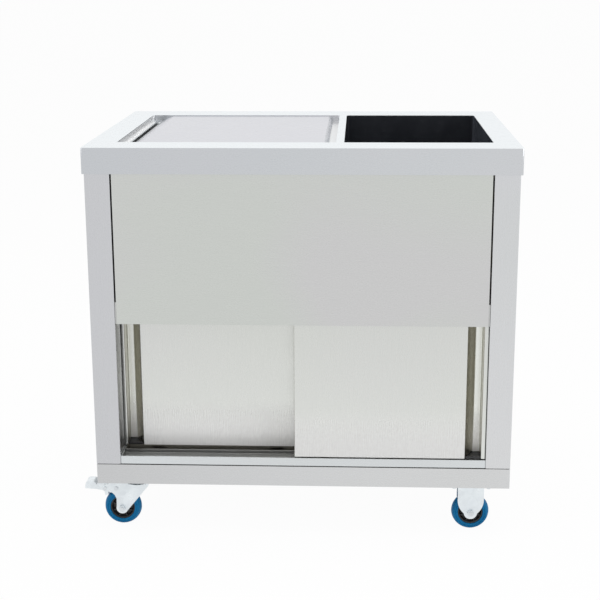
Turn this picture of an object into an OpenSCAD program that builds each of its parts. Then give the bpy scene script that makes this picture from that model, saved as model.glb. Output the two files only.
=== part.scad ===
// Mobile ice cart: a folded stainless worktop with a lidded ice bin and a deep black well, a cupboard
// with two sliding doors, and a plinth frame on two braked swivel casters and two rigid casters.
// X runs to the right, Y to the back, Z up. The origin is on the floor, under the cabinet's centre.

/* [Overall] */
// Width of the worktop
cart_w = 900; // [860:10:1000]
// Depth of the worktop
cart_d = 680; // [660:10:760]
// Height of the worktop above the floor
cart_h = 850; // [820:10:900]
// Thickness of the stainless sheet
sheet = 1.2; // [1:0.1:1.4]
// Outer radius of the folds
fold_r = 2.4; // [2:0.2:3]

/* [Worktop] */
// Height of the turned-down apron
apron_h = 54; // [50:1:60]
// Height of the doubled hem inside the apron
hem_h = 12; // [8:1:16]
// Rim in front of and behind the openings
rim = 90; // [88:1:100]
// Rim left of the ice bin
rim_left = 60; // [58:1:70]
// Rim right of the black well
rim_right = 53; // [50:1:60]
// Bar between the two openings
divider_w = 17; // [16:1:24]
// How far the worktop reaches past the posts
overhang = 4; // [3.5:0.5:6]
// Radius of the worktop's corners and cut-outs
corner_r = 3; // [2:0.5:4]

/* [Ice bin] */
// Depth of the ledge under the worktop's face
ledge_drop = 16; // [14:1:20]
// Width of the ledge in front of the bin and behind it
ledge_w = 15; // [13:1:20]
// Width of the ledge left of the bin
ledge_left = 10; // [8:1:12]
// Width of the ledge right of the bin, under the lid's foot
ledge_right = 21; // [20:1:26]
// Flange outside the collar, welded under the worktop
weld_flange = 4; // [3:0.5:5]
// Depth of the bin under its ledge
bin_depth = 272; // [240:2:276]
// Radius of the bin's upright corners
bin_r = 12; // [8:1:20]

/* [Black well] */
// Width of the well, that of a standard full-size container cut-out
well_w = 310; // [305:1:316]
// Depth of the well under the worktop's face
well_depth = 288; // [250:2:292]
// Wall of the moulded liner
liner_wall = 3; // [2.5:0.5:4]
// Flange of the liner under the worktop
liner_flange = 12; // [8:1:12]
// Radius of the liner's upright corners
well_r = 8; // [5:1:12]

/* [Insulation] */
// Thickness of the foam round the wells
foam_t = 25; // [18:1:27]

/* [Lid] */
// Width of the lid at its foot
lid_w = 418; // [404:1:422]
// Width of the sloped flank at the right
lid_flank = 8; // [6:1:12]
// Width of the sloped flank at the left, where the hand reaches under the lid
lid_grip = 26; // [16:1:30]
// Height of the sloped flanks
lid_slope = 10; // [7:1:11]
// How far the lid's top lies under the worktop's face
lid_recess = 2; // [1:0.5:3]
// Part of the right ledge that stays in view
lid_offset = 17.5; // [16:0.5:18]
// Gap between the lid's ends and the collar
lid_end_gap = 1.5; // [1:0.5:3]

/* [Posts and panels] */
// Width of the square posts
post_w = 53; // [50:1:56]
// Wall of the posts
post_wall = 1.5; // [1.2:0.1:2]
// Dark seam between the posts and the plinth
seam = 1.5; // [1:0.5:2]
// Dark gap between a panel and the posts
panel_gap = 2.5; // [2:0.5:4]
// Depth of the folded returns of the panels
panel_return = 12; // [8:1:14]
// Height of the front panel under the apron
panel_h = 319; // [300:1:330]
// How far the panels reach up behind the apron
panel_tuck = 30; // [15:1:40]

/* [Cupboard] */
// Height of the bottom rail in front of the cupboard floor
rail_h = 19; // [18:1:24]
// How far the bottom rail stands behind the posts' faces
rail_setback = 2; // [1:0.5:4]
// Width of the rail's folded lip in front of the door lanes
rail_lip = 3; // [3:0.5:6]
// Depth of the sunk lanes under the doors
lane_depth = 14; // [10:1:14]
// Height of the top track behind the front panel
track_h = 47; // [46:1:52]

/* [Doors] */
// Thickness of a door
door_t = 40; // [38:1:42]
// Sheet of the doors
door_sheet = 1; // [0.8:0.1:1.2]
// Distance from the front door's face to the rear door's face
door_pitch = 62.5; // [60:0.5:68]
// How far the front door's face stands behind the worktop's edge
door_setback = 9.5; // [9:0.5:12]
// How far the front door passes the cabinet's middle
door_lap = 16.5; // [10:0.5:25]
// How far the rear door reaches behind the post
door_tuck = 4; // [2:1:16]
// Gap between the front door and the post
door_gap = 0.6; // [0.5:0.1:2]
// Gap between a door and the cupboard floor
door_lift = 2; // [1.5:0.5:3]
// How far the doors reach up behind the front panel
door_hidden = 15; // [10:1:16]
// Depth of the recessed pull
pull_depth = 37; // [30:0.5:37]
// Width of the pull's floor
pull_floor = 15; // [14:1:22]
// Width of the pull's slanted wall
pull_bevel = 19.5; // [12:0.5:24]
// Flange outside the pull
pull_flange = 9.5; // [9:0.5:14]
// Distance of the hangers and guides from a door's edges
hanger_inset = 72; // [70:1:90]
// Radius of the rollers
roller_r = 10; // [9:0.5:10.5]
// Width of the rollers
roller_w = 6; // [5:0.5:7]

/* [Drains] */
// Distance of the drains behind the cabinet's middle
drain_y = 120; // [0:10:150]
// Outer radius of the outlet's tail
tail_r = 16.7; // [15:0.1:18]
// Wall of the outlet's tail
tail_wall = 3.2; // [2.5:0.1:4]
// Radius of the pressed dish round the outlet
dish_r = 55; // [45:1:70]
// Depth of the pressed dish
dish_h = 8; // [6:0.5:10]
// Radius of the valve's ball
ball_r = 16; // [15:0.5:17]
// Radius of the hose spigot under the valve
spigot_r = 12.5; // [11:0.5:13]
// Length of the hose spigot
spigot_l = 24; // [20:1:30]
// Length of the valve's lever
lever_l = 90; // [70:1:110]

/* [Plinth] */
// Height of the plinth frame
plinth_h = 44; // [38:1:48]
// Sheet of the plinth frame
plinth_sheet = 2; // [1.5:0.5:3]
// Width of the plinth's flanges
plinth_flange = 40; // [30:1:50]
// Thickness of the caster pads in the corners
pad_t = 3; // [2:0.5:5]

/* [Casters] */
// Height of the casters
caster_h = 117; // [115:1:125]
// Diameter of the wheels
wheel_d = 82; // [76:1:84]
// Width of the tyres
tyre_w = 27; // [24:1:30]
// Radius of the tyre's rounded tread
tread_r = 20; // [18:1:26]
// Radius of the wheel centre under the tyre
centre_r = 27; // [24:0.5:29]
// Trail of the swivel casters
trail = 34; // [30:1:36]
// Distance of a caster's middle from the worktop's side
caster_inset_x = 82; // [80:1:100]
// Distance of a caster's middle from the worktop's front or back
caster_inset_y = 64; // [58:1:80]
// Length of the top plate
plate_l = 95; // [90:1:105]
// Width of the top plate
plate_w = 66; // [62:1:75]
// Thickness of the top plate
plate_t = 3; // [2.5:0.5:4]
// Hole spacing along the top plate
hole_x = 75; // [72:1:80]
// Hole spacing across the top plate
hole_y = 45; // [42:1:50]
// Height of the pressed head under a swivel caster's top plate
head_h = 10.3; // [6:0.1:12]
// Thickness of the fork's sheet
fork_t = 2.5; // [2:0.5:3]
// Gap between the tyre and the fork's legs
fork_gap = 1.5; // [1:0.5:3]
// Radius of the fork's lobe round the axle
lobe_r = 13; // [11:0.5:15]
// Width of the rigid fork
rigid_w = 57; // [50:1:60]
// Radius of the axle sleeve
axle_r = 6; // [5:0.5:7]
// Height of the brake pedal's side walls
pedal_h = 16; // [12:1:18]
// Reach of the brake pedal past its pin
pedal_reach = 43; // [38:1:48]

/* [Hidden] */
$fn = 48;

// Clearances
slack = 0.3;
run_fit = 0.05;
eps = 0.01;

// Colours
steel_light = [0.86, 0.87, 0.88];
steel_mid = [0.78, 0.79, 0.80];
steel_warm = [0.77, 0.78, 0.76];
zinc = [0.86, 0.89, 0.90];
black_gloss = [0.05, 0.05, 0.06];
hub_black = [0.08, 0.08, 0.09];
tyre_blue = [0.04, 0.35, 0.58];
nylon = [0.90, 0.89, 0.85];
foam_yellow = [0.90, 0.85, 0.60];
valve_brass = [0.72, 0.70, 0.62];
lever_red = [0.65, 0.10, 0.08];

// Cabinet planes
half_w = cart_w / 2;
half_d = cart_d / 2;
top_under = cart_h - sheet;
post_out_x = half_w - overhang;
post_in_x = post_out_x - post_w;
post_out_y = half_d - overhang;
post_in_y = post_out_y - post_w;
plinth_top = caster_h + plinth_h;
body_z = plinth_top + seam;
foot_inset = 8;
floor_z = plinth_top + rail_h;
panel_z = cart_h - apron_h - panel_h;
panel_top = cart_h - apron_h + panel_tuck;
ceiling_z = panel_z + track_h;
ledge_z = cart_h - ledge_drop;

// Openings in the worktop
open_l = cart_d - 2 * rim;
bin_x0 = -half_w + rim_left;
well_x1 = half_w - rim_right;
well_x0 = well_x1 - well_w;
bin_x1 = well_x0 - divider_w;
bin_w = bin_x1 - bin_x0;
bin_x = (bin_x0 + bin_x1) / 2;
well_x = (well_x0 + well_x1) / 2;
bin_floor = ledge_z - bin_depth;
well_floor = cart_h - well_depth;
tub_w = bin_w - ledge_left - ledge_right;
tub_l = open_l - 2 * ledge_w;
tub_x = bin_x + (ledge_left - ledge_right) / 2;

// Lid
lid_x1 = bin_x1 - lid_offset;
lid_x0 = lid_x1 - lid_w;
lid_h = ledge_drop - lid_recess;
lid_l = open_l - 2 * lid_end_gap;

// Doors
door_w = post_in_x + door_lap - door_gap;
track_x = post_in_x - slack;
door_z = floor_z + door_lift;
door_h = panel_z + door_hidden - door_z;
front_y = -half_d + door_setback;
rear_y = front_y + door_pitch;
pull_x1 = door_w - pull_flange;
pull_x0 = pull_x1 - pull_floor;
face_x1 = pull_x0 - pull_bevel;
skin_return = 14;
front_x0 = -door_lap;
rear_x1 = door_w - post_in_x - door_tuck;

// Door running gear, measured from a door's face and top
hanger_t = 2.5;
hanger_w = 36;
foot_gap = 6;
rail_t = 2;
wall_t = 1.2;
roller_y = 24;
roller_z = foot_gap + rail_t + roller_r + slack / 3;
rail_y = roller_y + roller_w / 2 + 1;
hanger_y = roller_y - roller_w / 2 - 3;
pin_r = 2.5;

// Lanes in the cupboard floor, and the ribs in them that the doors' guides straddle
lane_z = floor_z - lane_depth;
lane_y0 = -post_out_y + rail_setback + rail_lip;
lane_y1 = rear_y + door_t + 4;
track_t = 1.2;
rib_y = 30.5;
rib_t = 2;
rib_h = 9;
guide_w = 14;
guide_l = 30;
guide_drop = 12.5;
rib_gap = 0.5;

// Drains
sump_r = 24;
flange_t = 2.5;
flange_r = sump_r - 1;
strainer_t = 1.2;
tail_in = tail_r - tail_wall;
tail_l = ceiling_z;
valve_drop = 46;
valve_z = ceiling_z - valve_drop;
socket_l = 18;
body_r = ball_r + 6;
stem_r = 6;
lever_y = 34;
lever_t = 3;
lever_w = 14;

// Casters
caster_x = half_w - caster_inset_x;
caster_y = half_d - caster_inset_y;
wheel_r = wheel_d / 2;
leg_y = tyre_w / 2 + fork_gap;
crown_y = leg_y + fork_t;
plate_z = caster_h - plate_t;
head_r = 24;
race_r = 17;
race_ball_r = 2.5;
race_gap = 1.2;
race_z = plate_z - head_h;
crown_top = race_z - race_ball_r - race_gap;
crown_z = crown_top - fork_t;
kingpin_r = 6;
hub_gap = 0.5;
bolt_r = 4;
bolt_head_af = 13;
bolt_head_r = bolt_head_af / 2 / cos(30);
bolt_head_h = 5.3;
nut_h = 6.5;
bolt_tail = 6.5;
brake_pin = [-37, 46];
rivet = [-12, 46];
brake_pin_r = 3;

// Unit vector
function unit(v) = v / norm(v);

// Normal on the left of a direction
function left_of(v) = [-v.y, v.x];

// Points of the arc that rounds the corner b between a and c
function corner_arc(a, b, c, r, steps) =
    let (
        u = unit(a - b),
        v = unit(c - b),
        half = acos(u * v) / 2,
        centre = b + unit(u + v) * r / sin(half),
        start = b + u * r / tan(half) - centre,
        turn = sign(cross(b - a, c - b)) * (180 - 2 * half)
    )
    [for (k = [0:steps]) let (t = turn * k / steps)
        centre + [start.x * cos(t) - start.y * sin(t), start.x * sin(t) + start.y * cos(t)]];

// Open line with its inner corners rounded
function rounded_line(p, r, steps = 4) = concat(
    [p[0]],
    [for (i = [1:len(p) - 2]) each corner_arc(p[i - 1], p[i], p[i + 1], r, steps)],
    [p[len(p) - 1]]
);

// Line beside an open line, at the distance d on its left
function beside(q, d) = [for (i = [0:len(q) - 1])
    let (
        n0 = left_of(unit(i == 0 ? q[1] - q[0] : q[i] - q[i - 1])),
        n1 = i == 0 || i == len(q) - 1 ? n0 : left_of(unit(q[i + 1] - q[i])),
        m = unit(n0 + n1)
    )
    q[i] + m * d / (m * n0)];

function backwards(q) = [for (i = [len(q) - 1:-1:0]) q[i]];

// Point where a line from p nearly touches the circle of radius r round the origin: it ends a little
// inside, so that the line crosses the circle cleanly
function touch(p, r, side) =
    let (s = 0.97 * r, a = atan2(p.y, p.x) + side * acos(s / norm(p)))
    [s * cos(a), s * sin(a)];

// Cross-section of a folded sheet whose face follows the line p, with the sheet on its left
module fold_section(p, t, r = fold_r) {
    q = rounded_line(p, r);
    polygon(concat(q, backwards(beside(q, t))));
}

// Rectangle with round corners, centred
module round_rect(size, r) {
    square([size.x - 2 * r, size.y], center = true);
    square([size.x, size.y - 2 * r], center = true);
    for (x = [-1, 1], y = [-1, 1])
        translate([x * (size.x / 2 - r), y * (size.y / 2 - r)])
            circle(r = r);
}

// Upright block with round corners, centred in X and Y
module round_block(size, r) {
    linear_extrude(size.z)
        round_rect([size.x, size.y], r);
}

// Plan of the space inside the four panels and between the posts
module core_plan(gap) {
    square([2 * (post_in_x - panel_gap - sheet - gap), 2 * (post_out_y - sheet - gap)], center = true);
    square([2 * (post_out_x - sheet - gap), 2 * (post_in_y - panel_gap - sheet - gap)], center = true);
}

module at_drains() {
    for (x = [bin_x, well_x])
        translate([x, drain_y, 0])
            children();
}

// Pressed dish under a drain, larger by grow for the solid that the hollow is cut from
module dish(floor_level, grow) {
    translate([0, 0, floor_level - dish_h - grow])
        cylinder(h = dish_h, r1 = sump_r + grow, r2 = dish_r + grow);
}

module worktop() {
    color(steel_light)
        difference() {
            union() {
                difference() {
                    translate([0, 0, cart_h - apron_h])
                        round_block([cart_w, cart_d, apron_h], corner_r);
                    translate([0, 0, cart_h - apron_h - eps])
                        round_block([cart_w - 4 * sheet, cart_d - 4 * sheet, hem_h + 2 * eps],
                            max(0.2, corner_r - 2 * sheet));
                    translate([0, 0, cart_h - apron_h + hem_h])
                        round_block([cart_w - 2 * sheet, cart_d - 2 * sheet, apron_h - hem_h - sheet],
                            corner_r - sheet);
                }
                translate([bin_x, 0, ledge_z])
                    round_block([bin_w + 2 * sheet, open_l + 2 * sheet, ledge_drop - sheet / 2],
                        corner_r + sheet);
            }
            translate([bin_x, 0, ledge_z - 1])
                round_block([bin_w, open_l, ledge_drop + 2], corner_r);
            translate([well_x, 0, top_under - 1])
                round_block([well_w, open_l, sheet + 2], corner_r);
        }
}

module ice_bin() {
    flange = 2 * (sheet + weld_flange);
    color(steel_mid)
        difference() {
            union() {
                translate([bin_x, 0, ledge_z - sheet])
                    round_block([bin_w + flange, open_l + flange, sheet], corner_r + sheet);
                translate([tub_x, 0, bin_floor - sheet])
                    round_block([tub_w + 2 * sheet, tub_l + 2 * sheet, bin_depth], bin_r + sheet);
                translate([bin_x, drain_y, 0])
                    dish(bin_floor, sheet);
            }
            translate([tub_x, 0, bin_floor])
                round_block([tub_w, tub_l, bin_depth + 1], bin_r);
            translate([bin_x, drain_y, 0])
                dish(bin_floor + eps, 0);
            translate([bin_x, drain_y, bin_floor - dish_h - 2 * sheet])
                cylinder(h = 4 * sheet, r = tail_r + slack);
        }
}

module well_liner() {
    flange = 2 * liner_flange;
    color(black_gloss)
        difference() {
            union() {
                translate([well_x, 0, top_under - liner_wall])
                    round_block([well_w + flange, open_l + flange, liner_wall], well_r);
                translate([well_x, 0, well_floor - liner_wall])
                    round_block([well_w + 2 * liner_wall, open_l + 2 * liner_wall, well_depth - sheet],
                        well_r + liner_wall);
                translate([well_x, drain_y, 0])
                    dish(well_floor, liner_wall);
            }
            translate([well_x, 0, well_floor])
                round_block([well_w, open_l, well_depth], well_r);
            translate([well_x, drain_y, 0])
                dish(well_floor + eps, 0);
            translate([well_x, drain_y, well_floor - dish_h - 2 * liner_wall])
                cylinder(h = 4 * liner_wall, r = tail_r + slack);
        }
}

// Foam jacket round both wells, with pockets for the liners and their outlets
module insulation() {
    gap = slack + 0.2;
    foam_z = ceiling_z + sheet + slack;
    foam_top = ledge_z - sheet - gap;
    color(foam_yellow)
        difference() {
            translate([0, 0, foam_z])
                linear_extrude(foam_top - foam_z) {
                    translate([tub_x, 0])
                        square([tub_w + 2 * (sheet + foam_t), tub_l + 2 * (sheet + foam_t)], center = true);
                    translate([well_x, 0])
                        square([well_w + 2 * (liner_wall + foam_t), open_l + 2 * (liner_wall + foam_t)],
                            center = true);
                }
            translate([tub_x, 0, bin_floor - sheet - gap])
                round_block([tub_w + 2 * (sheet + gap), tub_l + 2 * (sheet + gap), bin_depth + 1],
                    bin_r + sheet + gap);
            translate([well_x, 0, well_floor - liner_wall - gap])
                round_block([well_w + 2 * (liner_wall + gap), open_l + 2 * (liner_wall + gap), well_depth],
                    well_r + liner_wall + gap);
            at_drains()
                translate([0, 0, foam_z - 1])
                    cylinder(h = well_floor - foam_z, r = dish_r + liner_wall + 1);
        }
}

// Sheet above the cupboard that closes the foam from below
module ceiling_pan() {
    color(steel_mid)
        difference() {
            translate([0, 0, ceiling_z])
                linear_extrude(sheet)
                    core_plan(slack);
            at_drains()
                translate([0, 0, ceiling_z - 1])
                    cylinder(h = sheet + 2, r = tail_r + slack);
        }
}

// Plan of the cupboard floor: its front tongue is the bottom rail between the posts
module floor_plan(t) {
    front = -post_out_y + rail_setback + t;
    intersection() {
        core_plan(slack + t);
        translate([-half_w, -post_in_y + panel_gap])
            square([cart_w, cart_d]);
    }
    translate([-track_x + t, front])
        square([2 * (track_x - t), -front]);
}

// Block with the door lanes' plan, wider by grow on every side and deeper by grow
module lane_block(grow) {
    translate([-track_x + 2 * sheet - grow, lane_y0 - grow, lane_z - grow])
        cube([2 * (track_x - 2 * sheet + grow), lane_y1 - lane_y0 + 2 * grow, lane_depth + grow + 1]);
}

// Cupboard floor with its bottom rail in front and the sunk lanes that the doors' guides run in
module floor_pan() {
    color(steel_light)
        difference() {
            translate([0, 0, body_z])
                linear_extrude(floor_z - body_z)
                    floor_plan(0);
            difference() {
                translate([0, 0, body_z - 1])
                    linear_extrude(floor_z - body_z + 1 - sheet)
                        floor_plan(sheet);
                lane_block(sheet);
            }
            lane_block(0);
        }
}

// Square post, standing on a smaller foot that leaves a dark seam over the plinth
module post(x, y) {
    inner = post_w - 2 * post_wall;
    foot = post_w - 2 * foot_inset;
    color(steel_mid)
        translate([x * (post_out_x - post_w / 2), y * (post_out_y - post_w / 2), plinth_top]) {
            difference() {
                translate([0, 0, seam])
                    round_block([post_w, post_w, top_under - body_z], fold_r);
                translate([0, 0, seam + post_wall])
                    round_block([inner, inner, top_under], fold_r - post_wall);
            }
            translate([0, 0, seam / 2])
                cube([foot, foot, seam], center = true);
        }
}

// Panel with folded returns, its face along the line y = 0 and its sheet behind
module folded_panel(w, h) {
    linear_extrude(h)
        fold_section([[-w / 2, panel_return], [-w / 2, 0], [w / 2, 0], [w / 2, panel_return]], sheet);
}

module front_panel() {
    panel_w = 2 * (post_in_x - panel_gap);
    color(steel_warm)
        difference() {
            translate([0, -post_out_y, panel_z])
                folded_panel(panel_w, panel_top - panel_z);
            translate([-half_w, -post_out_y + sheet, panel_z - 1])
                cube([cart_w, 2 * panel_return, track_h + sheet + slack + 1]);
        }
}

module back_panel() {
    color(steel_mid)
        translate([0, post_out_y, body_z])
            rotate([0, 0, 180])
                folded_panel(2 * (post_in_x - panel_gap), panel_top - body_z);
}

module side_panel(side) {
    color(steel_mid)
        translate([side * post_out_x, 0, body_z])
            rotate([0, 0, side * 90])
                folded_panel(2 * (post_in_y - panel_gap), panel_top - body_z);
}

// Cross-section of the top track: a folded housing with a hanging rail for each door
module track_section() {
    y0 = -post_out_y + sheet + slack;
    y1 = rear_y + door_t + 12;
    mid = (front_y + door_t + rear_y) / 2;
    rail_top = ceiling_z - wall_t;
    hang_z = door_z + door_h + foot_gap;
    translate([y0, panel_z])
        square([wall_t, track_h]);
    translate([y0, rail_top])
        square([y1 - y0, wall_t]);
    translate([y1 - wall_t, ceiling_z - track_h / 2])
        square([wall_t, track_h / 2]);
    translate([mid - wall_t / 2, door_z + door_h - 6])
        square([wall_t, rail_top - door_z - door_h + 6 + eps]);
    for (y = [front_y, rear_y]) {
        translate([y + rail_y, hang_z])
            square([rail_t, rail_top - hang_z + eps]);
        translate([y + roller_y - roller_w / 2 - 2, hang_z])
            square([rail_y - roller_y + roller_w / 2 + 2 + eps, rail_t]);
        translate([y + roller_y - roller_w / 2 - 2, hang_z])
            square([1.5, rail_t + 1.5]);
    }
}

// A section drawn in Y and Z, run along X between the posts
module along_x(length) {
    translate([-length / 2, 0, 0])
        rotate([90, 0, 90])
            linear_extrude(length)
                children();
}

module top_track() {
    color(steel_mid)
        along_x(2 * track_x)
            track_section();
}

// Drawn section on the lanes' floor: a base, a guide rib under each door and a wall between the lanes
module bottom_tracks() {
    wall_y = front_y + door_t + track_t;
    color(steel_light)
        along_x(2 * (track_x - 2 * sheet - slack)) {
            translate([lane_y0 + slack, lane_z])
                square([lane_y1 - lane_y0 - 2 * slack, track_t]);
            translate([wall_y - rib_t / 2, lane_z])
                square([rib_t, lane_depth]);
            for (y = [front_y, rear_y])
                translate([y + rib_y - rib_t / 2, lane_z])
                    square([rib_t, track_t + rib_h]);
        }
}

// Stops that a hanger meets at each end of its lane
module track_stops() {
    stop_l = 12;
    front_end = track_x + slack - door_gap - hanger_inset + hanger_w / 2 + slack;
    rear_end = post_in_x + door_tuck - hanger_inset + hanger_w / 2 + slack;
    lanes = [[front_y, front_end], [rear_y, rear_end]];
    color(nylon)
        for (lane = lanes, side = [0, 1])
            mirror([side, 0, 0])
                translate([lane[1], lane[0] + hanger_y - 3, ceiling_z - wall_t - 14])
                    cube([stop_l, 8, 14]);
}

// Channel frame with pads in its corners for the casters
module plinth_frame() {
    w = 2 * post_out_x;
    d = 2 * post_out_y;
    pad_x = caster_inset_x - overhang + plate_l / 2 + 10;
    pad_y = caster_inset_y - overhang + plate_w / 2 + 10;
    color(steel_mid)
        difference() {
            union() {
                difference() {
                    translate([0, 0, caster_h])
                        round_block([w, d, plinth_h], fold_r);
                    translate([0, 0, caster_h + plinth_sheet])
                        round_block([w - 2 * plinth_sheet, d - 2 * plinth_sheet, plinth_h - 2 * plinth_sheet],
                            fold_r / 4);
                    translate([0, 0, caster_h + plinth_h / 2])
                        cube([w - 2 * plinth_flange, d - 2 * plinth_flange, plinth_h + 2], center = true);
                }
                for (x = [-1, 1], y = [-1, 1])
                    translate([x * (post_out_x - pad_x / 2 - 1), y * (post_out_y - pad_y / 2 - 1),
                        caster_h + pad_t / 2])
                        cube([pad_x, pad_y, pad_t], center = true);
            }
            for (x = [-1, 1], y = [-1, 1])
                translate([x * caster_x, y * caster_y, caster_h - 1])
                    plate_holes(pad_t + 2);
        }
}

// Line of the lid's sheet across the cart, from its left foot over its top to its right foot
function lid_line(foot) =
    let (knee = lid_h - lid_slope)
    [
        [lid_x0, foot], [lid_x0, knee], [lid_x0 + lid_grip, lid_h],
        [lid_x1 - lid_flank, lid_h], [lid_x1, knee], [lid_x1, foot]
    ];

// Section of the lid, run along Y
module lid_block(line, length) {
    translate([0, length / 2, 0])
        rotate([90, 0, 0])
            linear_extrude(length)
                polygon(line);
}

module lid() {
    color(steel_light)
        translate([0, 0, ledge_z])
            difference() {
                lid_block(lid_line(0), lid_l);
                lid_block(beside(lid_line(-1), -sheet), lid_l - 2 * sheet);
            }
}

// Perforated plates that lie over both outlets
module drain_strainers() {
    color(steel_light)
        for (drain = [[bin_x, bin_floor], [well_x, well_floor]])
            translate([drain.x, drain_y, drain.y - dish_h + flange_t])
                difference() {
                    cylinder(h = strainer_t, r = flange_r - 1);
                    for (ring = [0:2], k = [0:max(0, 6 * ring - 1)])
                        rotate([0, 0, ring == 0 ? 0 : 60 * k / ring])
                            translate([5 * ring, 0, -1])
                                cylinder(h = strainer_t + 2, r = 1.6, $fn = 16);
                }
}

// Flanged outlet through a well's floor, with its back nut
module outlet(x, floor_level, wall) {
    seat = floor_level - dish_h;
    nut_t = 8;
    color(steel_mid)
        translate([x, drain_y, 0]) {
            difference() {
                union() {
                    translate([0, 0, seat])
                        cylinder(h = flange_t, r = flange_r);
                    translate([0, 0, valve_z + body_r])
                        cylinder(h = seat - valve_z - body_r + eps, r = tail_r);
                }
                translate([0, 0, valve_z])
                    cylinder(h = seat + flange_t - valve_z + 1, r = tail_in);
            }
            translate([0, 0, seat - wall - nut_t])
                difference() {
                    cylinder(h = nut_t, r = tail_r + 8, $fn = 6);
                    translate([0, 0, -1])
                        cylinder(h = nut_t + 2, r = tail_r + run_fit);
                }
        }
}

// Ball valve screwed on the outlet's tail, with a hose spigot below and the stem boss in front
module valve(x) {
    top = body_r + socket_l;
    color(valve_brass)
        translate([x, drain_y, valve_z])
            difference() {
                union() {
                    sphere(r = body_r);
                    translate([0, 0, body_r - 6])
                        cylinder(h = socket_l + 6, r = tail_r + 7, $fn = 8);
                    translate([0, 0, -body_r - 8])
                        cylinder(h = 14, r = ball_r + 3, $fn = 8);
                    translate([0, 0, -body_r - 8 - spigot_l])
                        cylinder(h = spigot_l + 1, r = spigot_r);
                    translate([0, -lever_y + 6, 0])
                        rotate([-90, 0, 0])
                            cylinder(h = lever_y - 6, r = stem_r + 5);
                }
                sphere(r = ball_r + slack);
                translate([0, 0, body_r])
                    cylinder(h = socket_l + 1, r = tail_r + run_fit);
                translate([0, 0, -body_r - spigot_l - 9])
                    cylinder(h = top + body_r + spigot_l, r = spigot_r - 2.5);
                translate([0, -lever_y, 0])
                    rotate([-90, 0, 0])
                        cylinder(h = lever_y, r = stem_r + run_fit);
            }
}

// Ball, stem and handle: shut while the handle lies across the pipe
module valve_lever(x) {
    color(lever_red)
        translate([x, drain_y, valve_z]) {
            difference() {
                sphere(r = ball_r);
                rotate([0, 90, 0])
                    cylinder(h = 3 * ball_r, r = spigot_r - 2.5, center = true);
            }
            translate([0, -lever_y - lever_t - 2, 0])
                rotate([-90, 0, 0])
                    cylinder(h = lever_y + lever_t + 2 - ball_r * 0.7, r = stem_r);
            translate([0, -lever_y, 0])
                rotate([90, 0, 0])
                    linear_extrude(lever_t) {
                        circle(r = lever_w / 2 + 2);
                        translate([0, -lever_w / 2])
                            square([lever_l - lever_w / 2, lever_w]);
                        translate([lever_l - lever_w / 2, 0])
                            circle(r = lever_w / 2);
                    }
        }
}

// Door parts stand with the lapping edge at x = 0, the face at y = 0 and the foot at z = 0
module on_front_door() {
    translate([front_x0, front_y, door_z])
        children();
}

module on_rear_door() {
    translate([rear_x1, rear_y, door_z])
        mirror([1, 0, 0])
            children();
}

// Front skin with the pull folded into its outer edge: bevel, floor, outer wall and flange
module door_skin() {
    color(steel_light)
        linear_extrude(door_h)
            fold_section([
                [0, skin_return], [0, 0], [face_x1, 0], [pull_x0, pull_depth], [pull_x1, pull_depth],
                [pull_x1, 0], [door_w, 0], [door_w, skin_return]
            ], door_sheet);
}

// Pan that closes the door from behind, notched at both ends of the pull
module door_back() {
    gap = door_sheet + slack;
    front = 2.5;
    color(steel_mid)
        difference() {
            translate([gap, front, 0])
                cube([door_w - 2 * gap, door_t - front, door_h]);
            translate([gap + door_sheet, front - 1, door_sheet])
                cube([door_w - 2 * (gap + door_sheet), door_t - front - door_sheet + 1,
                    door_h - 2 * door_sheet]);
            translate([face_x1 - 2, front - 1, -1])
                cube([pull_x1 + door_sheet + 2 - face_x1 + 2, door_t - front - door_sheet + 1, door_h + 2]);
        }
}

// Places of a door's hangers and guides along the door
function running_gear() = [hanger_inset, door_w - hanger_inset];

// Angle brackets on the door's top, each with the pin that carries its roller
module door_hangers() {
    color(zinc)
        for (x = running_gear())
            translate([x, 0, door_h]) {
                translate([-hanger_w / 2, 0, 0])
                    rotate([90, 0, 90])
                        linear_extrude(hanger_w)
                            fold_section([[hanger_y, foot_gap + rail_t + 18], [hanger_y, 0],
                                [hanger_y - 14, 0]], -hanger_t, hanger_t + 1);
                translate([0, hanger_y - hanger_t, roller_z])
                    rotate([-90, 0, 0])
                        cylinder(h = roller_w + 6, r = pin_r);
            }
}

// Roller on a hanger's pin
module door_roller(x) {
    color(nylon)
        translate([x, roller_y, door_h + roller_z])
            rotate([90, 0, 0])
                difference() {
                    cylinder(h = roller_w, r = roller_r, center = true);
                    cylinder(h = roller_w + 2, r = pin_r + run_fit, center = true);
                    for (side = [-1, 1])
                        translate([0, 0, side * roller_w / 2])
                            difference() {
                                cylinder(h = 2, r = roller_r - 1.5, center = true);
                                cylinder(h = 3, r = pin_r + 2, center = true);
                            }
                }
}

// Blocks under the door, slotted over the lane's guide rib
module door_guides() {
    slot_top = lane_z + track_t + rib_h + 2 - door_z;
    color(hub_black)
        for (x = running_gear())
            translate([x - guide_l / 2, rib_y, -guide_drop])
                difference() {
                    translate([0, -guide_w / 2, 0])
                        cube([guide_l, guide_w, guide_drop]);
                    translate([-1, -rib_t / 2 - rib_gap, -1])
                        cube([guide_l + 2, rib_t + 2 * rib_gap, slot_top + guide_drop + 1]);
                }
}

// Four holes of a caster's top plate
module plate_holes(h) {
    for (x = [-1, 1], y = [-1, 1])
        translate([x * hole_x / 2, y * hole_y / 2, 0])
            cylinder(h = h, r = bolt_r + 0.2, $fn = 24);
}

module at_caster(x, y) {
    translate([x * caster_x, y * caster_y, 0])
        children();
}

// Wheel parts stand with the axle through the origin, along Y
module at_wheel(x, y) {
    at_caster(x, y)
        translate([x < 0 ? -trail : 0, 0, wheel_r])
            children();
}

module top_plate() {
    difference() {
        round_block([plate_l, plate_w, plate_t], 6);
        translate([0, 0, -1])
            plate_holes(plate_t + 2);
    }
}

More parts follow.
